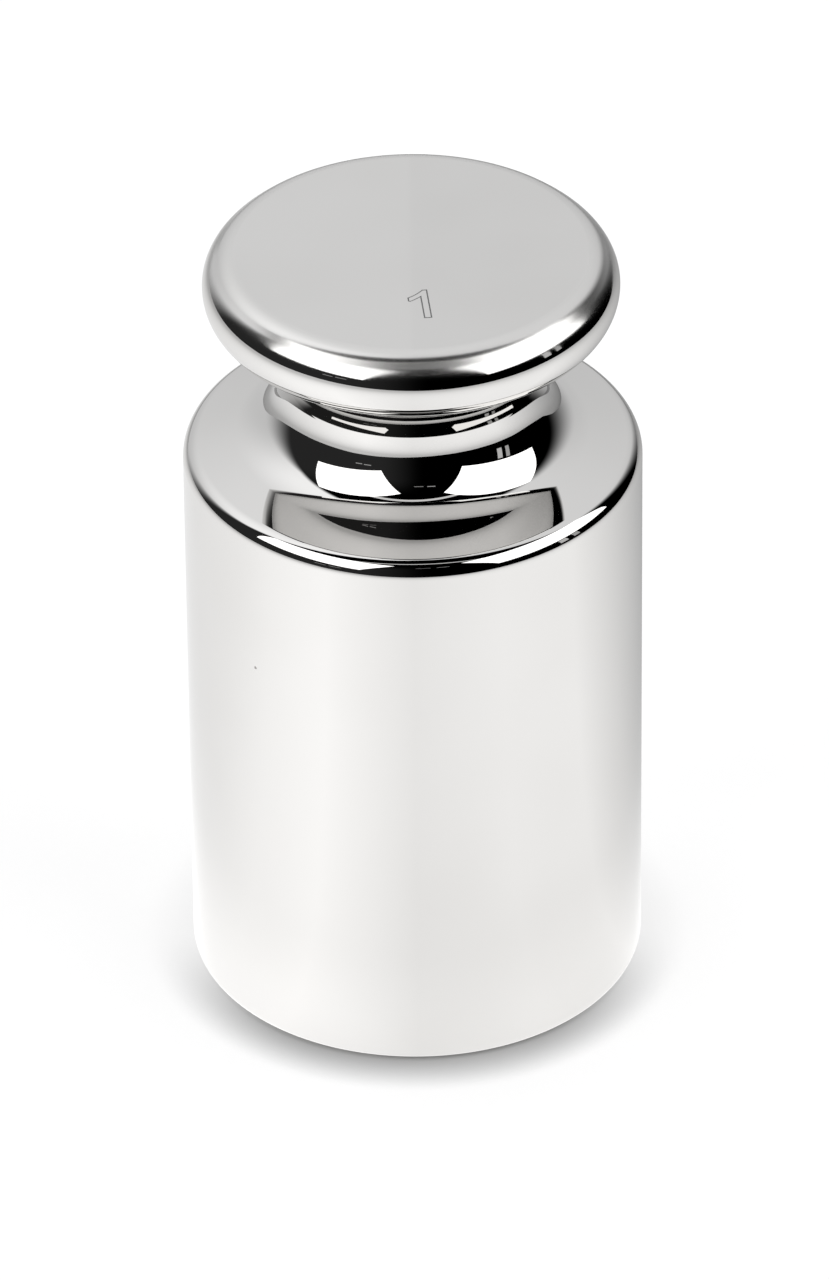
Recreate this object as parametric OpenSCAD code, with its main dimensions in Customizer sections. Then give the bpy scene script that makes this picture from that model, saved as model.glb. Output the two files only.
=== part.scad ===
// Knob-type calibration weight, 1 kg, turned in one piece from stainless steel bar.
// The base stands on z = 0, the turning axis is Z, and every size is in millimetres.

/* [Body] */
// Diameter of the cylindrical body
body_d = 48; // [40:0.5:80]
// Height of the shoulder's outer rim above the base, where its edge begins to round off
body_h = 63.35; // [40:0.05:90]
// Radius of the rounded edge round the base
base_edge_r = 1.1; // [0.3:0.1:3]
// Radius of the rounded edge round the shoulder
shoulder_edge_r = 2; // [0.4:0.2:3]

/* [Neck] */
// Diameter of the waist, the thinnest place of the neck
waist_d = 26.2; // [18:0.2:32]
// Radius of the hollow curve from the shoulder up to the waist
root_r = 7.2; // [3:0.2:10]
// Radius of the hollow curve from the waist out under the knob
flare_r = 6.4; // [2:0.1:8]

/* [Knob] */
// Diameter of the knob at its widest place
knob_d = 43.4; // [35:0.2:60]
// Height of the knob's widest place above the shoulder's outer rim
knob_rise = 19.1; // [14:0.1:26]
// Radius of the broad curve on the knob's underside
under_r = 5.8; // [2:0.1:8]
// Radius of the rim's lower curve, from the widest place to the underside
rim_under_r = 4.3; // [1:0.1:6]
// Radius of the rim's upper curve, from the widest place to the bevel
rim_top_r = 3.3; // [1:0.1:6]
// Width of the sloping bevel between the rim and the flat top
bevel_w = 0.95; // [0.2:0.05:3]
// Radius that softens the bevel into the flat top
top_blend_r = 2.4; // [0.3:0.1:5]

/* [Hidden] */
$fn = 180;

// Directions out of the surface as [out, up]. They are the sides of 3-4-5 and 7-24-25
// triangles, so that the point where two curves meet is always a short, exact decimal.
UPWARD = [0, 1];
// The shoulder's slope; its length is 1 to the seventh decimal
SHOULDER = [0.22, 0.9755];
BEVEL = [0.6, 0.8];
OUTWARD = [1, 0];
RIM_TURN = [0.8, -0.6];
OVERHANG = [0.28, -0.96];
DOWNWARD = [0, -1];
// Rise of the overhang's straight slope for each millimetre it runs outwards
overhang_rise = -OVERHANG.x / OVERHANG.y;
// Rise of the shoulder for each millimetre it runs inwards
shoulder_rise = SHOULDER.x / SHOULDER.y;

body_r = body_d / 2;
waist_r = waist_d / 2;
knob_r = knob_d / 2;

// Shortest straight run left between two curves, where a small size crowds them
land = 0.1;
// The shoulder's slope begins where its rounded edge ends.
shoulder_edge_at = [body_r - shoulder_edge_r, body_h - shoulder_edge_r * SHOULDER.y];
shoulder_rim = shoulder_edge_at + shoulder_edge_r * SHOULDER;
shoulder_reach = shoulder_rim.x - waist_r;
// The three curves of the overhang share its reach from the waist out to the rim.
reach = knob_r - waist_r;
curve_reach = rim_under_r * (1 - RIM_TURN.x) + under_r * (RIM_TURN.x - OVERHANG.x)
    + flare_r * (1 - OVERHANG.x);
// The same curves and the root share the rise from the shoulder's rim to the widest place.
root_reach = 1 - SHOULDER.x;
curve_rise = root_r * (SHOULDER.y - root_reach * shoulder_rise) - flare_r * OVERHANG.y + under_r * (RIM_TURN.y - OVERHANG.y)
    - rim_under_r * RIM_TURN.y;
free_rise = knob_rise - land - reach * overhang_rise - shoulder_reach * shoulder_rise;
reach_share = (reach - land) / curve_reach;
rise_share = free_rise / (curve_rise - curve_reach * overhang_rise);
share = min(1, reach_share, rise_share);
root = fifths(min(root_r * share, (shoulder_reach - land) / root_reach));
flare = hundredths(flare_r * share);
under = hundredths(under_r * share);
rim_under = hundredths(rim_under_r * share);

// A size cut down to whole hundredths of a millimetre
function hundredths(x) = floor(100 * x + 0.001) / 100;
// The same in steps of 0.2, which the direction of the shoulder needs
function fifths(x) = floor(5 * x + 0.001) / 5;
// A height to four decimals, the finest the exact rebuild reads
function fine(x) = round(10000 * x) / 10000;

// Centres of the curves as [out, up], each found from its neighbour along their shared direction
base_edge_at = [body_r - base_edge_r, base_edge_r];
root_foot_r = waist_r + root * root_reach;
root_foot = [root_foot_r, fine(shoulder_rim.y + (shoulder_rim.x - root_foot_r) * shoulder_rise)];
root_at = root_foot + root * SHOULDER;
rim_under_at = [knob_r - rim_under, body_h + knob_rise];
under_at = rim_under_at + (rim_under - under) * RIM_TURN;
slope_top = under_at + under * OVERHANG;
slope_foot_r = waist_r + flare * (1 - OVERHANG.x);
slope_foot = [slope_foot_r, fine(slope_top.y - (slope_top.x - slope_foot_r) * overhang_rise)];
flare_at = slope_foot + flare * OVERHANG;
rim_top_at = [knob_r - rim_top_r, body_h + knob_rise];
bevel_foot = rim_top_at + rim_top_r * BEVEL;
bevel_head = bevel_foot + bevel_w * [-BEVEL.y, BEVEL.x];
top_blend_at = bevel_head - top_blend_r * BEVEL;
top_z = top_blend_at.y + top_blend_r;

// The part of a disc round a centre between two directions
module sector(centre, r, from, to)
    translate(centre)
        intersection() {
            circle(r);
            polygon([[0, 0], 2 * r * from, 2 * r * to]);
        }

// Half section of the turned profile: straight chords first, then every curve is rounded
// out of its chord or hollowed into it
module half_section()
    difference() {
        union() {
            polygon([
                [0, 0],
                base_edge_at + base_edge_r * DOWNWARD,
                base_edge_at + base_edge_r * OUTWARD,
                shoulder_edge_at + shoulder_edge_r * OUTWARD,
                shoulder_rim,
                root_foot,
                root_at - root * OUTWARD,
                flare_at - flare * OUTWARD,
                slope_foot,
                slope_top,
                under_at + under * RIM_TURN,
                rim_under_at + rim_under * OUTWARD,
                bevel_foot,
                bevel_head,
                top_blend_at + top_blend_r * UPWARD,
                [0, top_z]
            ]);
            sector(base_edge_at, base_edge_r, DOWNWARD, OUTWARD);
            sector(shoulder_edge_at, shoulder_edge_r, OUTWARD, SHOULDER);
            sector(under_at, under, OVERHANG, RIM_TURN);
            sector(rim_under_at, rim_under, RIM_TURN, OUTWARD);
            sector(rim_top_at, rim_top_r, OUTWARD, BEVEL);
            sector(top_blend_at, top_blend_r, BEVEL, UPWARD);
        }
        sector(root_at, root, -OUTWARD, -SHOULDER);
        sector(flare_at, flare, -OVERHANG, -OUTWARD);
    }

// The whole weight: body, waisted neck and lifting knob in one turning
module weight()
    color("silver")
        rotate_extrude()
            half_section();

weight();
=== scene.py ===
# %% [markdown]
# # A knob-type calibration weight in mirror-polished steel
#
# A one-kilogram weight for a balance is turned from a single bar of stainless
# steel and buffed until it is a mirror.  It has no parts and almost no colour of
# its own: everything the eye sees on it is the room around it, bent by the outline
# of the turning.  So this lesson spends its care in two places, on an outline
# whose curves are exactly right, and on a studio worth reflecting.

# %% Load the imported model
import math

import bpy
from mathutils import Matrix, Vector
from mathutils.geometry import tessellate_polygon


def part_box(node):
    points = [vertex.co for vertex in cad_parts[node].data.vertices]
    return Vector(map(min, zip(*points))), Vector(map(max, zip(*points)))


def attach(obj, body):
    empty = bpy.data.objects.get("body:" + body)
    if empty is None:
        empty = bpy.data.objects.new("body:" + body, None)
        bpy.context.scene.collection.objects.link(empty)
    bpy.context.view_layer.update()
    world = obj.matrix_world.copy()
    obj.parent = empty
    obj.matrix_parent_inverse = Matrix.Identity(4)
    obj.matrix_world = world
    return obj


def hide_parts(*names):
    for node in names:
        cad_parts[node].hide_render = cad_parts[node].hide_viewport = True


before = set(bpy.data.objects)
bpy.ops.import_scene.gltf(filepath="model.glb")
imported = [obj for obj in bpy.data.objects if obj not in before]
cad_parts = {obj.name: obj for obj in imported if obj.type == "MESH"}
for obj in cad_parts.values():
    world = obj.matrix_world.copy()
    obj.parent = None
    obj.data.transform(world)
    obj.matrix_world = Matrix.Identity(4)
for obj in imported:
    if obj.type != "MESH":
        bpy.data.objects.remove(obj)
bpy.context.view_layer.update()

# %% [markdown]
# ## Working in millimetres
#
# A turner's drawing is in millimetres and Blender's scene is in metres.  Every
# size below is written in millimetres, and one factor turns it into metres at the
# moment a mesh is made.  The overall height and the body's diameter come from the
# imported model, so the piece built here always fills the same space.

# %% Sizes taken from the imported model
MM = 0.001
node_low, node_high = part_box("weight")
body_d = (node_high.x - node_low.x) / MM
full_h = (node_high.z - node_low.z) / MM
print(f"body diameter {body_d:.2f} mm, height {full_h:.2f} mm")

# %% [markdown]
# ## The outline, drawn as a lathe tool would travel
#
# A turned part is one curve spun round an axis.  The curve could be a list of
# points, but a mirror shows every kink between two points as a broken reflection.
# A turner thinks in straight cuts and radii that run into each other without a
# corner, so the outline is drawn by a pen that does the same.  The pen knows its
# place (r, z) and the tilt of the surface normal, measured from straight up: 0 is
# a flat top, 90 an upright wall, 180 an underside.  It notes the tilt with each
# point, and that gives the mesh its exact normals later.

# %% A pen for turned outlines
# Degrees of tilt between two noted points of an arc, at most
ARC_STEP = 2.0


class TurningPen:
    """Travels down the outside of a turned part, noting (r, z, tilt) as it goes."""

    def __init__(self, r, z):
        self.r, self.z, self.tilt = r, z, 0.0
        self.points = [(r, z, 0.0)]

    def note(self):
        self.points.append((self.r, self.z, self.tilt))

    def line(self, length):
        """A straight cut along the surface."""
        turn = math.radians(self.tilt)
        self.r += math.cos(turn) * length
        self.z -= math.sin(turn) * length
        self.note()

    def arc(self, radius, tilt):
        """A blend of this radius: rounded when the tilt grows, hollow when it falls."""
        bulge = radius if tilt > self.tilt else -radius
        start = math.radians(self.tilt)
        centre_r = self.r - math.sin(start) * bulge
        centre_z = self.z - math.cos(start) * bulge
        steps = max(2, math.ceil(abs(tilt - self.tilt) / ARC_STEP))
        first = self.tilt
        for i in range(1, steps + 1):
            self.tilt = first + (tilt - first) * i / steps
            turn = math.radians(self.tilt)
            self.r = centre_r + math.sin(turn) * bulge
            self.z = centre_z + math.cos(turn) * bulge
            self.note()


print(f"the pen notes a point for every {ARC_STEP} degrees of an arc")

# %% [markdown]
# ## The sizes of the turning
#
# The knob is a flat top, a narrow bevel and a full round rim that rolls under into a
# straight slope.  Below it the neck is hollow.  Two radii make each of its hollows,
# because a hollow of one radius would mirror the studio with an even squeeze, and a
# hand-blended one doesn't.  The shoulder is not level: it falls outwards like a very
# flat cone.  Radii, widths and heights are in millimetres, tilts in degrees.

# %% Sizes from the flat top down to the base
knob_d = 43.28
waist_d = 26.19
top_blend_r = 2.71
bevel_tilt = 41.07
bevel_w = 0.55
rim_r = 3.66
rim_under_r = 4.215
rim_under_tilt = 134.3
under_r = 5.82
under_tilt = 157.77
flare_lip_r = 7.04
flare_lip_tilt = 156.33
flare_r = 6.71
root_r = 6.87
root_tilt = 63.95
root_foot_r = 7.27
shoulder_tilt = 14.08
shoulder_edge_r = 2.17
shoulder_z = 63.37
base_edge_r = 1.1

print(f"knob {knob_d} mm, waist {waist_d} mm, shoulder's rim at {shoulder_z} mm")


# %% How far a blend runs, and what that leaves of the flat top
def blend_reach(radius, start, end):
    """How far outwards a blend of this radius runs between two tilts, in degrees."""
    return radius * abs(math.sin(math.radians(end)) - math.sin(math.radians(start)))


def blend_drop(radius, start, end):
    """How far down the same blend runs."""
    return radius * abs(math.cos(math.radians(end)) - math.cos(math.radians(start)))


rim_reach = (
    blend_reach(top_blend_r, 0, bevel_tilt)
    + bevel_w * math.cos(math.radians(bevel_tilt))
    + blend_reach(rim_r, bevel_tilt, 90)
)
flat_r = knob_d / 2 - rim_reach
print(f"radius of the flat top {flat_r:.3f} mm")

# %% [markdown]
# ## Three straight cuts that close the outline
#
# The blends have fixed radii, so the straight cuts between them have to take up what
# is left.  The slope under the knob is as long as it must be to reach the waist, the
# shoulder is as long as it must be to reach the body's diameter, and the short cut
# at the waist puts the shoulder's rim at its height.


# %% The outline, from the rim of the flat top down to the base
def turned_outline():
    """The outline's points from the flat top's rim to the flat base's rim."""
    pen = TurningPen(flat_r, full_h)
    pen.arc(top_blend_r, bevel_tilt)
    pen.line(bevel_w)
    pen.arc(rim_r, 90)
    pen.arc(rim_under_r, rim_under_tilt)
    pen.arc(under_r, under_tilt)
    flare_reach = blend_reach(flare_lip_r, under_tilt, flare_lip_tilt)
    flare_reach += blend_reach(flare_r, flare_lip_tilt, 90)
    pen.line((waist_d / 2 + flare_reach - pen.r) / math.cos(math.radians(under_tilt)))
    pen.arc(flare_lip_r, flare_lip_tilt)
    pen.arc(flare_r, 90)
    print(f"waist radius {pen.r:.2f} at z {pen.z:.2f}")
    slope = math.radians(shoulder_tilt)
    root_reach = blend_reach(root_r, 90, root_tilt)
    root_reach += blend_reach(root_foot_r, root_tilt, shoulder_tilt)
    root_drop = blend_drop(root_r, 90, root_tilt)
    root_drop += blend_drop(root_foot_r, root_tilt, shoulder_tilt)
    shoulder_r = body_d / 2 - shoulder_edge_r * (1 - math.sin(slope))
    shoulder_w = (shoulder_r - waist_d / 2 - root_reach) / math.cos(slope)
    pen.line(pen.z - root_drop - shoulder_w * math.sin(slope) - shoulder_z)
    pen.arc(root_r, root_tilt)
    pen.arc(root_foot_r, shoulder_tilt)
    pen.line(shoulder_w)
    print(f"shoulder edge begins at r {pen.r:.2f}, z {pen.z:.2f}")
    pen.arc(shoulder_edge_r, 90)
    pen.line(pen.z - base_edge_r)
    pen.arc(base_edge_r, 180)
    return pen.points


outline = turned_outline()
print(len(outline), "points on the outline, from rim to rim")

# %% [markdown]
# ## A number, engraved as a fine outline
#
# The nominal mass is marked on the knob by a single engraved line that runs round
# the outside of the figure.  Painting the line into the material would look right
# from one side only, and the exported mesh would be bare, so it is cut as a real
# groove: four copies of the figure's outline, each set a little further in, give
# the groove two sloping walls and a floor.

# %% The figure's outline, in millimetres on the knob
figure_turn = 5.5
figure_height = 5.2
figure_foot = -12.52
figure_head = figure_foot + figure_height
stem_left, stem_right = 0.17, 0.88
# Where the flag leaves the head, and where its tip lies to the left
flag_start, flag_tip = 0.45, -1.15
# Depths below the head: the flag's upper and lower end at the tip, its foot at the stem
tip_top, tip_low, flag_foot = 1.28, 1.9, 1.14
# Where the flag's lower line starts: right of the tip, and below the head
tip_cut, tip_cut_low = 0.14, 1.97
# How far the flag's upper and lower lines bow
bow_top, bow_low = 0.14, 0.05
groove_w = 0.14
groove_wall = 0.04
groove_depth = 0.04


def bow(start, end, sag, steps=6):
    """Points along a shallow curve from start to end, hanging below it by sag."""
    points = []
    for i in range(steps):
        t = i / steps
        points.append(
            (
                start[0] + (end[0] - start[0]) * t,
                start[1] + (end[1] - start[1]) * t - 4 * sag * t * (1 - t),
            )
        )
    return points


def figure_one():
    """The figure 1, anticlockwise, turned a little as the engraver left it."""
    head = (flag_start, figure_head)
    tip_above = (flag_tip, figure_head - tip_top)
    tip_below = (flag_tip, figure_head - tip_low)
    cut = (flag_tip + tip_cut, figure_head - tip_cut_low)
    foot = (stem_left, figure_head - flag_foot)
    points = [(stem_left, figure_foot), (stem_right, figure_foot), (stem_right, figure_head)]
    points += [head] + bow(head, tip_above, bow_top)[1:]
    points += [tip_above, tip_below] + bow(cut, foot, bow_low) + [foot]
    turn = Matrix.Rotation(math.radians(figure_turn), 2)
    return [turn @ Vector(p) for p in points]


def inset(points, depth):
    """The closed outline moved inward by depth, its corners mitred."""
    moved = []
    for i, here in enumerate(points):
        before = (here - points[i - 1]).normalized()
        after = (points[(i + 1) % len(points)] - here).normalized()
        left_before = Vector((-before.y, before.x))
        left_after = Vector((-after.y, after.x))
        mitre = left_before + left_after
        moved.append(here + mitre * (depth / (1 + left_before.dot(left_after))))
    return moved


figure = figure_one()
print(len(figure), "corners on the figure's outline")

# %% [markdown]
# ## One closed mesh
#
# The weight is one piece of steel, so it is one closed mesh: the turned skin, the
# flat top with the groove let into it, and the flat base.  Blender's Screw modifier
# could spin the outline, but building the rings in code keeps hold of the exact
# normal at each point.  Those normals are stored with the mesh, and a reflection
# then runs over the facets as if they were not there.

# %% Rings of the skin
SEGMENTS = 320


class MeshParts:
    """Vertices, faces and corner normals gathered up for one mesh."""

    def __init__(self):
        self.vertices, self.faces, self.normals, self.slots = [], [], [], []

    def add_vertex(self, x, y, z):
        self.vertices.append((x * MM, y * MM, z * MM))
        return len(self.vertices) - 1

    def add_face(self, corners, normals=None, slot=0):
        self.faces.append(corners)
        self.normals.append(normals)
        self.slots.append(slot)


def spin(parts, points):
    """Adds the rings of the turned skin, and returns the first and the last ring."""
    rings, tilts = [], []
    for r, z, tilt in points:
        ring = []
        for k in range(SEGMENTS):
            turn = 2 * math.pi * k / SEGMENTS
            ring.append(parts.add_vertex(r * math.cos(turn), r * math.sin(turn), z))
        rings.append(ring)
        tilts.append(math.radians(tilt))

    def normal(row, k):
        turn = 2 * math.pi * k / SEGMENTS
        out = math.sin(tilts[row])
        return (out * math.cos(turn), out * math.sin(turn), math.cos(tilts[row]))

    for row in range(len(rings) - 1):
        for k in range(SEGMENTS):
            nxt = (k + 1) % SEGMENTS
            around = ((row, k), (row + 1, k), (row + 1, nxt), (row, nxt))
            corners = [rings[i][j] for i, j in around]
            parts.add_face(corners, [normal(i, j) for i, j in around])
    return rings[0], rings[-1]


print("the skin has", SEGMENTS, "segments round")

# %% The top with its groove, and the base
# The material slot of the groove; the polished skin has slot 0
ENGRAVED = 1


def fill(parts, outer, hole=None):
    """Fills the flat ground between a ring and a hole in it with triangles facing up."""
    loops = [[Vector(parts.vertices[i]) for i in loop] for loop in (outer, hole) if loop]
    order = list(outer) + list(hole or [])
    for a, b, c in tessellate_polygon(loops):
        i, j, k = order[a], order[b], order[c]
        va, vb, vc = (Vector(parts.vertices[n]) for n in (i, j, k))
        if (vb - va).cross(vc - va).z < 0:
            j, k = k, j
        parts.add_face((i, j, k))


def engrave(parts, ring):
    """Lets the figure's groove into the flat top inside this ring."""
    levels = [
        (-groove_w / 2, full_h),
        (-groove_w / 2 + groove_wall, full_h - groove_depth),
        (groove_w / 2 - groove_wall, full_h - groove_depth),
        (groove_w / 2, full_h),
    ]
    loops = []
    for depth, z in levels:
        loops.append([parts.add_vertex(p.x, p.y, z) for p in inset(figure, depth)])
    for outer, inner in zip(loops, loops[1:]):
        for i in range(len(outer)):
            j = (i + 1) % len(outer)
            parts.add_face((outer[i], outer[j], inner[j], inner[i]), slot=ENGRAVED)
    fill(parts, ring, loops[0])
    fill(parts, loops[-1])


def close_base(parts, ring):
    """Closes the base with a fan of triangles facing down."""
    middle = parts.add_vertex(0, 0, parts.vertices[ring[0]][2] / MM)
    for k, corner in enumerate(ring):
        parts.add_face((middle, ring[(k + 1) % len(ring)], corner))


weight_parts = MeshParts()
top_ring, base_ring = spin(weight_parts, outline)
engrave(weight_parts, top_ring)
close_base(weight_parts, base_ring)
print(len(weight_parts.vertices), "vertices,", len(weight_parts.faces), "faces")


# %% Make the mesh and store its normals
def make_mesh(name, parts):
    """The Blender object of these parts, smooth where exact normals were given."""
    mesh = bpy.data.meshes.new(name)
    mesh.from_pydata(parts.vertices, [], parts.faces)
    for face, normals, slot in zip(mesh.polygons, parts.normals, parts.slots):
        face.use_smooth = normals is not None
        face.material_index = slot
    corner_normals = []
    for face, normals in zip(mesh.polygons, parts.normals):
        corner_normals += list(normals) if normals else [tuple(face.normal)] * len(face.vertices)
    mesh.normals_split_custom_set(corner_normals)
    made = bpy.data.objects.new(name, mesh)
    bpy.context.scene.collection.objects.link(made)
    return made


weight = make_mesh("weight_polished", weight_parts)
print("mesh made:", weight.name, "valid" if not weight.data.validate() else "mended")

# %% [markdown]
# ## Sums with sockets
#
# A material is a small calculation that runs at every point of the surface.
# Wiring one Math node to the next by hand hides the sum that is meant, so one
# small class wraps a socket and lets ordinary arithmetic add the nodes.

# %% A socket that can be added, multiplied and compared
class Wire:
    """An output socket that Python arithmetic works on, one node for each sign."""

    def __init__(self, tree, socket):
        self.tree, self.socket = tree, socket

    @staticmethod
    def node(tree, kind, settings=None, sockets=None, out=0):
        """Adds a node, its settings first and then its sockets, and wraps one output."""
        made = tree.nodes.new(kind)
        for name, value in (settings or {}).items():
            if name == "stops":
                ramp = made.color_ramp
                for stop in list(ramp.elements)[1:]:
                    ramp.elements.remove(stop)
                ramp.elements[0].position, ramp.elements[0].color = value[0]
                for place, colour in value[1:]:
                    ramp.elements.new(place).color = colour
            else:
                setattr(made, name, value)
        for name, value in (sockets or {}).items():
            if isinstance(value, Wire):
                tree.links.new(value.socket, made.inputs[name])
            else:
                made.inputs[name].default_value = value
        return Wire(tree, made.outputs[out]) if len(made.outputs) else None

    def math(self, operation, *others):
        values = dict(enumerate((self, *others)))
        return Wire.node(self.tree, "ShaderNodeMath", {"operation": operation}, values)

    def backwards(self, operation, first):
        sockets = {0: first, 1: self}
        return Wire.node(self.tree, "ShaderNodeMath", {"operation": operation}, sockets)

    def __add__(self, other):
        return self.math("ADD", other)

    def __sub__(self, other):
        return self.math("SUBTRACT", other)

    def __mul__(self, other):
        return self.math("MULTIPLY", other)

    def __truediv__(self, other):
        return self.math("DIVIDE", other)

    def __pow__(self, other):
        return self.math("POWER", other)

    def __gt__(self, other):
        return self.math("GREATER_THAN", other)

    def __lt__(self, other):
        return self.math("LESS_THAN", other)

    def __rsub__(self, other):
        return self.backwards("SUBTRACT", other)

    def __rtruediv__(self, other):
        return self.backwards("DIVIDE", other)

    __radd__ = __add__
    __rmul__ = __mul__

    def rise(self, low, high):
        """0 below low and 1 above high, with a smooth step between."""
        sockets = {"Value": self, "From Min": low, "From Max": high}
        settings = {"interpolation_type": "SMOOTHSTEP"}
        return Wire.node(self.tree, "ShaderNodeMapRange", settings, sockets)

    def tinted(self, colour):
        """This colour, as strong as the wire says; it may pass 1."""
        settings = {"operation": "SCALE"}
        return Wire.node(self.tree, "ShaderNodeVectorMath", settings, {0: colour[:3], "Scale": self})

    def blend(self, low, high):
        """A colour between low and high, by this wire as the share of high."""
        settings = {"data_type": "RGBA"}
        sockets = {0: self, 6: low, 7: high}
        return Wire.node(self.tree, "ShaderNodeMix", settings, sockets, out=2)


# %% Small helpers for every material
def new_material(name):
    """A material and its node tree, which is empty."""
    material = bpy.data.materials.new(name)
    material.use_nodes = True
    material.node_tree.nodes.clear()
    return material, material.node_tree


def finish_shader(tree, shader):
    """Joins a shader to the tree's output."""
    Wire.node(tree, "ShaderNodeOutputMaterial", {}, {"Surface": shader})


def grey(value):
    """An opaque grey."""
    return (value, value, value, 1.0)


def split_axes(tree, vector, axes):
    """One wire for each of these coordinates of a vector."""
    kind = "ShaderNodeSeparateXYZ"
    return [Wire.node(tree, kind, {}, {"Vector": vector}, out=axis) for axis in axes]


print("a mid grey is", grey(0.5))


# %% [markdown]
# ## The finish: buffed stainless steel
#
# The steel is a Principled shader with full metallic, a warm grey and a very low
# roughness.  A flawless value would look like chrome in a catalogue, so three
# small things are laid over it.  The buffing wheel leaves the knob's upper rim a
# little hazier than the rest, a faint mottle runs through the polish and the tone,
# and a few specks of dust rest on it.  The haze follows the height on the object
# itself, so it stays put from every side.

# %% Polished steel
STEEL = (0.590, 0.583, 0.573, 1.0)
STEEL_WORN = (0.565, 0.557, 0.546, 1.0)
STEEL_DUST = (0.30, 0.29, 0.28, 1.0)
# Roughness of the bare mirror, and what mottle, haze and dust add to it
MIRROR = 0.012
MOTTLE = 0.006
HAZE = 0.20
DUST_ROUGH = 0.4
# Cells of each pattern in a metre
MOTTLE_SCALE, CLOUD_SCALE, DUST_SCALE = 160.0, 35.0, 420.0
# The part of the cloud's range over which the tone turns
CLOUD_TURN = (0.35, 0.75)
# A speck's radius as a share of its cell, and the luck that a cell needs to hold one
SPECK_SIZE, SPECK_LUCK = 0.10, 0.994
# The haze fades in between these heights and stops short of the flat top
haze_top = (full_h - 1.1) * MM
haze_foot = (full_h - 2.6) * MM
flat_top = (full_h - 0.01) * MM


def metal(tree, colour, roughness):
    """A fully metallic surface, joined to the tree's output."""
    sockets = {"Base Color": colour, "Metallic": 1.0, "Roughness": roughness}
    finish_shader(tree, Wire.node(tree, "ShaderNodeBsdfPrincipled", {}, sockets))


def noise(tree, place, scale, detail):
    """Soft random cloud between 0 and 1."""
    return Wire.node(tree, "ShaderNodeTexNoise", {}, {"Vector": place, "Scale": scale, "Detail": detail})


def polished_steel():
    """Mirror-buffed stainless steel with a hazier rim, a faint mottle and dust."""
    material, tree = new_material("polished_steel")
    place = Wire.node(tree, "ShaderNodeTexCoord", {}, {}, out="Object")
    (height,) = split_axes(tree, place, "Z")
    haze = height.rise(haze_foot, haze_top) * (height < flat_top)
    roughness = MIRROR + MOTTLE * noise(tree, place, MOTTLE_SCALE, 4.0) + haze * HAZE
    cells = {"Vector": place, "Scale": DUST_SCALE}
    distance = Wire.node(tree, "ShaderNodeTexVoronoi", {"feature": "F1"}, cells, out="Distance")
    chosen = Wire.node(tree, "ShaderNodeTexVoronoi", {"feature": "F1"}, cells, out="Color")
    luck = Wire.node(tree, "ShaderNodeSeparateColor", {}, {"Color": chosen}, out=0)
    dust = (distance < SPECK_SIZE) * (luck > SPECK_LUCK)
    tone = noise(tree, place, CLOUD_SCALE, 2.0).rise(*CLOUD_TURN).blend(STEEL, STEEL_WORN)
    metal(tree, dust.blend(tone, STEEL_DUST), roughness + dust * DUST_ROUGH)
    return material


# %% The engraved line
ETCHED_DARK, ETCHED_PALE = grey(0.16), grey(0.24)
ETCHED_ROUGH, ETCHED_GRAIN = 0.45, 0.1
GRAIN_SCALE = 9000.0


def engraved_steel():
    """The floor and walls of the engraved line: etched grey, with no polish."""
    material, tree = new_material("engraved_line")
    place = Wire.node(tree, "ShaderNodeTexCoord", {}, {}, out="Object")
    grain = noise(tree, place, GRAIN_SCALE, 2.0)
    metal(tree, grain.blend(ETCHED_DARK, ETCHED_PALE), ETCHED_ROUGH + ETCHED_GRAIN * grain)
    return material


weight.data.materials.append(polished_steel())
weight.data.materials.append(engraved_steel())
print("materials:", [m.name for m in weight.data.materials])

# %% [markdown]
# ## A studio to reflect
#
# A photographer lights polished metal inside a white tent, because a mirror can
# only be lit by what it sees.  The tent is open at the front, where the camera
# stands, and the dark room beyond the opening draws the black lines that give the
# steel its depth.  A picture of such a studio could be wrapped round the scene.
# Here the tent is worked out in the world's own shader instead: every direction has
# an azimuth and an elevation, and a few smooth steps between them make the white
# cloth, its soft edges at the opening, the brighter side by the left lamp and a
# faint glow in the room's left half.  The camera itself sees plain white.

# %% Directions in the studio
DEGREES = 180 / math.pi


def direction(azimuth, elevation):
    """Azimuth 0 is towards the camera and grows to the right; degrees."""
    a, e = math.radians(azimuth), math.radians(elevation)
    return Vector((math.sin(a) * math.cos(e), -math.cos(a) * math.cos(e), math.sin(e)))


print("towards the camera:", direction(0, 0))

# %% The tent and its opening
TENT_TINT = (0.985, 0.990, 1.0, 1.0)
# The cloth's level at its foot, its gain up to the roof and its loss overhead
TENT_FOOT, TENT_RISE, TENT_LOSS = 0.80, 0.30, 0.15
TENT_RISES, TENT_LOSES = (-5, 55), (76, 90)
# The azimuth at which the cloth begins, left and right, and its lean with elevation
LEFT_EDGE, LEFT_LEAN = 113, 0.43
RIGHT_EDGE, RIGHT_LEAN = 132, 0.5
# The width of each soft edge in degrees, its loss with elevation, and its least
LEFT_SOFT, LEFT_TAPER, LEFT_LEAST = 36, 0.75, 7
RIGHT_SOFT, RIGHT_TAPER, RIGHT_LEAST = 38, 0.5, 8
# What the left lamp adds to its side: it wanes with azimuth and grows with elevation
LEFT_GAIN = 0.42
LAMP_WANES, LAMP_GROWS = (105, 180), (5, 50)
# The room's glow: it ends with azimuth to the right, and with elevation above
ROOM_GLOW = 0.03
ROOM_ENDS, ROOM_TOPS = (-30, 10), (30, 60)


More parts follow.
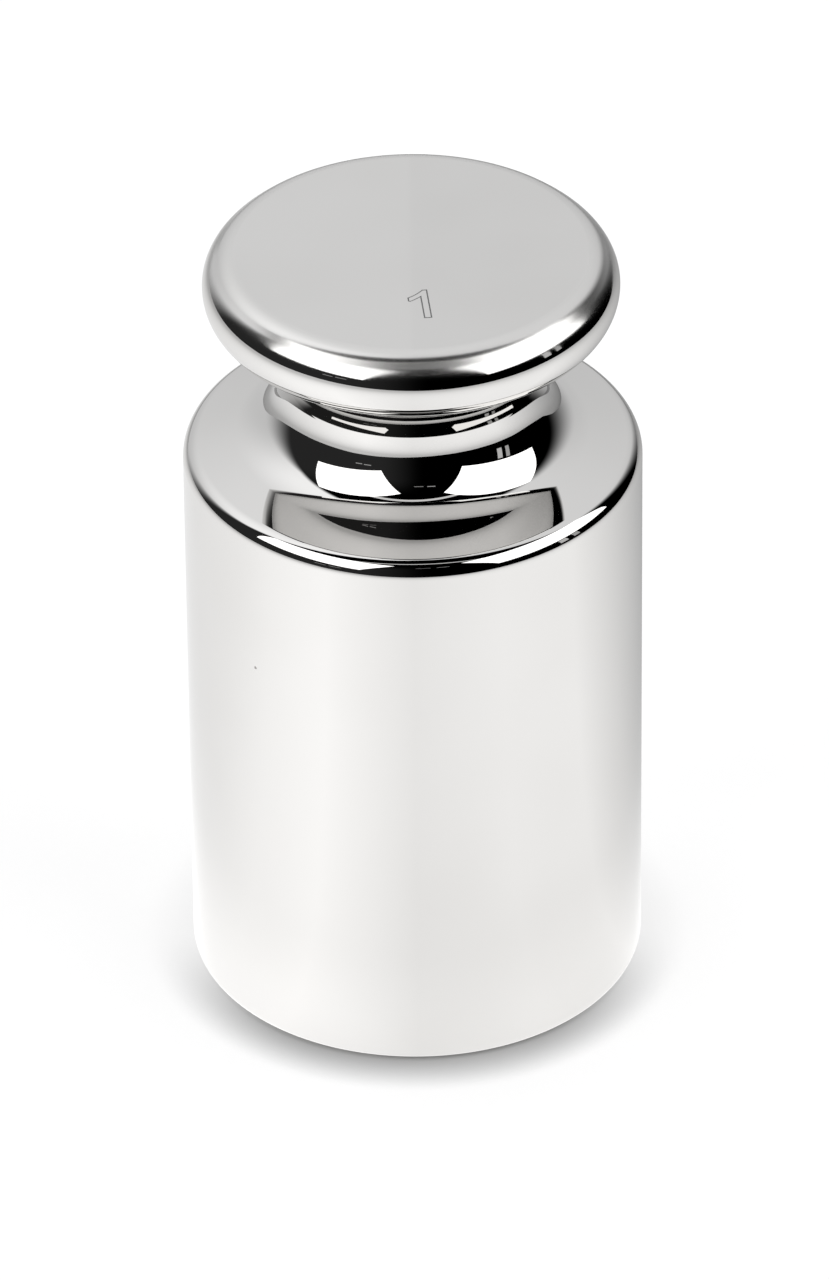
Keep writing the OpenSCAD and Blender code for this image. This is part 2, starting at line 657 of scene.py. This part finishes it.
def tent_colour(tree):
    """The world's colour in every direction: white cloth behind, a dark room in front."""
    towards = Wire.node(tree, "ShaderNodeTexCoord", out="Generated")
    x, y, z = split_axes(tree, towards, "XYZ")
    azimuth = x.math("ARCTAN2", 0 - y) * DEGREES
    elevation = z.math("ARCSINE") * DEGREES
    left, right = 0 - azimuth, azimuth
    left_edge = LEFT_EDGE - LEFT_LEAN * elevation
    right_edge = RIGHT_EDGE - RIGHT_LEAN * elevation
    left_soft = (LEFT_SOFT - LEFT_TAPER * elevation).math("MAXIMUM", LEFT_LEAST)
    right_soft = (RIGHT_SOFT - RIGHT_TAPER * elevation).math("MAXIMUM", RIGHT_LEAST)
    left_cloth = left.rise(left_edge, left_edge + left_soft)
    right_cloth = right.rise(right_edge, right_edge + right_soft)
    level = TENT_FOOT + TENT_RISE * elevation.rise(*TENT_RISES)
    level = level - TENT_LOSS * elevation.rise(*TENT_LOSES)
    lamp_side = (1 - left.rise(*LAMP_WANES)) * elevation.rise(*LAMP_GROWS) * LEFT_GAIN
    room = (1 - azimuth.rise(*ROOM_ENDS)) * (1 - elevation.rise(*ROOM_TOPS)) * ROOM_GLOW
    light = left_cloth * (level + lamp_side) + right_cloth * level + room * (1 - right_cloth)
    return light.tinted(TENT_TINT)


world = bpy.data.worlds.new("white_tent")
bpy.context.scene.world = world
world.use_nodes = True
world_tree = world.node_tree
world_tree.nodes.clear()
eye = Wire.node(world_tree, "ShaderNodeLightPath", out="Is Camera Ray")
seen_colour = eye.blend(tent_colour(world_tree), grey(1.0))
sockets = {"Color": seen_colour, "Strength": 1.0}
background = Wire.node(world_tree, "ShaderNodeBackground", {}, sockets)
Wire.node(world_tree, "ShaderNodeOutputWorld", {}, {"Surface": background})
print("world:", len(world_tree.nodes), "nodes")

# %% [markdown]
# ## Soft boxes
#
# Two soft boxes hang left and right of the opening.  They are the white slabs in
# the neck and the bright bands round the knob, and their straight edges show how
# the outline bends light.  An emitting card would look the same in the steel, but a
# rectangular area lamp also throws clean light and soft shadows on the table.

# %% Two soft boxes
# Metres from the weight's waist to a box, and how bright the box's face is
BOX_DISTANCE = 1.1
BOX_RADIANCE = 2.4
STUDIO_CENTRE = Vector((0, 0, 0.07))


def soft_box(name, at, facing, roll, width, height):
    """A lamp in direction at, its back turned to direction facing; metres, degrees."""
    lamp = bpy.data.lights.new(name, "AREA")
    lamp.shape = "RECTANGLE"
    lamp.size, lamp.size_y = width, height
    lamp.energy = BOX_RADIANCE * math.pi * width * height
    made = bpy.data.objects.new(name, lamp)
    turn = direction(*facing).to_track_quat("Z", "Y").to_matrix().to_4x4()
    place = Matrix.Translation(direction(*at) * BOX_DISTANCE + STUDIO_CENTRE)
    made.matrix_world = place @ turn @ Matrix.Rotation(math.radians(roll), 4, "Z")
    made.visible_camera = False
    bpy.context.scene.collection.objects.link(made)
    return made


left_box = soft_box("soft_box_left", (-56.1, 41.7), (-40.8, 29.4), -6.1, 1.065, 0.758)
right_box = soft_box("soft_box_right", (76.3, 41.8), (66.0, 21.3), 1.1, 1.250, 0.869)
print(f"soft boxes: {left_box.data.energy:.2f} W and {right_box.data.energy:.2f} W")

# %% [markdown]
# ## Small lights in the dark room
#
# A real room is never quite black.  A strip of the tent's roof crosses the front
# above the opening, a window stands far to the right, and a few small lights are
# left on.  The window and the lights are glowing cards, each drawn between two
# azimuths and two elevations, and the strip is one flat card.  Each leaves a thin
# line somewhere in the steel.

# %% Glowing cards
# The cards' distance in metres, and the most degrees that one flat face of a card spans
ROOM_R = 3.0
CARD_STEP = 4.0
# Each card's name, azimuths from and to, elevations from and to, and strength
CARDS = [
    ("window_near", 72.0, 76.5, 2.5, 16.5, 0.75),
    ("window_far", 80.0, 83.5, 2.5, 16.5, 0.55),
    ("small_lamp_a", -47.0, -41.5, 11.0, 12.3, 0.5),
    ("small_lamp_b", -40.0, -34.0, 11.6, 12.9, 0.5),
    ("ceiling_light_a", 1.0, 9.0, 43.0, 44.0, 0.35),
    ("ceiling_light_b", 12.5, 19.5, 43.2, 44.2, 0.6),
]


def plain_emission(name, strength):
    """A material that only glows white."""
    material, tree = new_material(name)
    shader = Wire.node(tree, "ShaderNodeEmission", {}, {"Color": grey(1.0), "Strength": strength})
    finish_shader(tree, shader)
    return material


def stage_object(name, vertices, faces, material):
    """An object that belongs to the studio and not to the weight."""
    mesh = bpy.data.meshes.new(name)
    mesh.from_pydata(vertices, [], faces)
    mesh.materials.append(material)
    made = bpy.data.objects.new(name, mesh)
    bpy.context.scene.collection.objects.link(made)
    return made


def card(name, left, right, low, high, strength):
    """A curved card between these azimuths and elevations, unseen by the camera."""
    steps = max(1, math.ceil((right - left) / CARD_STEP))
    vertices, faces = [], []
    for i in range(steps + 1):
        azimuth = left + (right - left) * i / steps
        for elevation in (low, high):
            vertices.append(direction(azimuth, elevation) * ROOM_R + STUDIO_CENTRE)
    for i in range(steps):
        faces.append((2 * i, 2 * i + 2, 2 * i + 3, 2 * i + 1))
    made = stage_object(name, vertices, faces, plain_emission(name, strength))
    made.visible_camera = False
    return made


print("cards:", [card(*values).name for values in CARDS])

# %% A strip of the tent's roof across the front
ROOF_STRIP_Z = 1.5
ROOF_STRIP_GLOW = 0.95
# Its two long edges and half its length, as shares of its height
strip_near, strip_far, strip_half = 0.470, 0.405, 0.46
strip = []
for out, side in ((strip_near, -1), (strip_near, 1), (strip_far, 1), (strip_far, -1)):
    corner = Vector((side * strip_half, -out, 1)) * ROOF_STRIP_Z
    strip.append(corner + STUDIO_CENTRE)
strip_glow = plain_emission("roof_strip", ROOF_STRIP_GLOW)
roof_strip = stage_object("roof_strip", strip, [(0, 1, 2, 3)], strip_glow)
roof_strip.visible_camera = False
print(f"roof strip {2 * strip_half * ROOF_STRIP_Z:.2f} m long")

# %% [markdown]
# ## The table
#
# The weight stands on a sheet of white paper, whose far edges are the horizon in
# every reflection.  The paper is matt, and a glow of its own brings it up to paper
# white where no shadow falls.  The lamps cast a wide, faint shadow.  The narrow dark
# line where the weight touches the paper comes from Ambient Occlusion, which dims
# the glow close to the foot, most of all in front.  The eye and the steel see the
# glow at different strengths: in the steel it is painted light, pools of it strongest
# under the two soft boxes, a little brighter by the foot, and fading towards the edges.

# %% A white sheet with its shadow and painted pools of light
# The sheet lies this many metres under the base, so that the two don't share a plane
SHEET_DROP = 0.00003
SHEET_WHITE = grey(0.38)
GLOW_SEEN = 0.67
# Reach of the contact shadow in metres, its sharpness, and its share behind the weight
CONTACT, CONTACT_SHARP, CONTACT_BEHIND = 0.0055, 2.7, 0.15
# How far towards the front the contact shadow grows to its full strength
CONTACT_FULL = 0.9
# What the steel sees, painted light: the glow's fade towards the edges, and its painted gain by the foot
FADE_FROM, FADE_TO, FADE_SHARE = 0.09, 0.48, 0.62
NEAR_FROM, NEAR_TO, NEAR_SHARE = 0.028, 0.045, 0.10
# Painted pools of light that only the steel sees, by azimuth: most under the two soft boxes
PAINTED_POOLS_IN_STEEL = [
    (-180, 0.35), (-141, 0.68), (-115, 0.87), (-70, 1.12), (-40, 1.22), (0, 0.95), (40, 1.04),
    (78, 1.01), (107, 0.68), (139, 0.28), (155, 0.10), (180, 0.25),
]
# The sheet's edge as (azimuth, distance), from the back round the left and the front
SHEET_EDGE = [
    (-180, 2.2), (-150, 2.0), (-140, 0.98), (-130, 0.70), (-110, 0.68), (-90, 0.77), (-70, 0.86),
    (-50, 1.04), (-30, 0.93), (-10, 0.75), (10, 0.62), (30, 0.58), (50, 0.59), (70, 0.59),
    (90, 0.55), (110, 0.45), (130, 0.50), (140, 0.98), (150, 2.0),
]


def sheet_surface():
    """Matt white, with a glow that keeps it paper white outside the shadow, and painted pools of light
    that only the steel sees.
    """
    material, tree = new_material("white_sheet")
    matt = Wire.node(tree, "ShaderNodeBsdfDiffuse", {}, {"Color": SHEET_WHITE})
    seen = Wire.node(tree, "ShaderNodeLightPath", out="Is Camera Ray")
    mirrored = Wire.node(tree, "ShaderNodeLightPath", out="Is Glossy Ray")
    place = Wire.node(tree, "ShaderNodeNewGeometry", out="Position")
    reach = Wire.node(tree, "ShaderNodeVectorMath", {"operation": "LENGTH"}, {0: place}, out="Value")
    # Painted light for the steel: a little brighter by the foot, and fading towards the edges
    near = 1 - reach.rise(NEAR_FROM, NEAR_TO)
    painted_falloff = 1 + NEAR_SHARE * near - FADE_SHARE * reach.rise(FADE_FROM, FADE_TO)
    x, y = split_axes(tree, place, "XY")
    compass = x.math("ARCTAN2", 0 - y) / (2 * math.pi) + 0.5
    stops = [(azimuth / 360 + 0.5, grey(strength)) for azimuth, strength in PAINTED_POOLS_IN_STEEL]
    level = Wire.node(tree, "ShaderNodeValToRGB", {"stops": stops}, {"Fac": compass})
    openness = Wire.node(tree, "ShaderNodeAmbientOcclusion", {}, {"Distance": CONTACT}, out="AO")
    front = ((0 - y) / reach).rise(0.0, CONTACT_FULL)
    strength = CONTACT_BEHIND + (1 - CONTACT_BEHIND) * front
    shade = 1 - strength * (1 - openness ** CONTACT_SHARP)
    # The eye sees the even glow dimmed by the contact shadow; the steel sees the painted pools of light
    light = seen * (GLOW_SEEN * shade) + mirrored * (level * painted_falloff)
    sockets = {"Color": light.tinted(grey(1.0)), "Strength": 1.0}
    glow = Wire.node(tree, "ShaderNodeEmission", {}, sockets)
    both = Wire.node(tree, "ShaderNodeAddShader", {}, {0: matt, 1: glow})
    finish_shader(tree, both)
    return material


sheet = []
for azimuth, distance in SHEET_EDGE:
    sheet.append(direction(azimuth, 0) * distance - Vector((0, 0, SHEET_DROP)))
stage_object("white_sheet", sheet, [tuple(range(len(sheet)))], sheet_surface())
print("the sheet has", len(sheet), "corners")

# %% [markdown]
# ## The camera
#
# A long lens from about 1.2 metres away, looking down at about 35 degrees, keeps the
# weight's sides almost parallel.  The camera leans by about half a degree, as one on
# a tripod often does.

# %% Place the camera
# Angles in degrees, and the lens and the sensor's width in millimetres
VIEW_DOWN = 34.648
VIEW_LEAN = -0.572
CAMERA_AT = Vector((-0.00957, -992.193, 723.180)) * MM
LENS, SENSOR = 321.19, 36.0

camera_data = bpy.data.cameras.new("camera")
camera_data.lens = LENS
camera_data.sensor_width = SENSOR
camera_data.clip_start = 0.01
camera = bpy.data.objects.new("camera", camera_data)
tilt = Matrix.Rotation(math.radians(90 - VIEW_DOWN), 4, "X")
lean = Matrix.Rotation(math.radians(VIEW_LEAN), 4, "Z")
camera.matrix_world = Matrix.Translation(CAMERA_AT) @ tilt @ lean
bpy.context.scene.collection.objects.link(camera)
bpy.context.scene.camera = camera
bpy.context.scene.view_settings.view_transform = "Standard"
print(f"camera {camera.location.length:.2f} m from the weight's foot")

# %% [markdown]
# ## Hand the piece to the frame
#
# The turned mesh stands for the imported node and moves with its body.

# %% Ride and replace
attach(weight, "root")
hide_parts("weight")
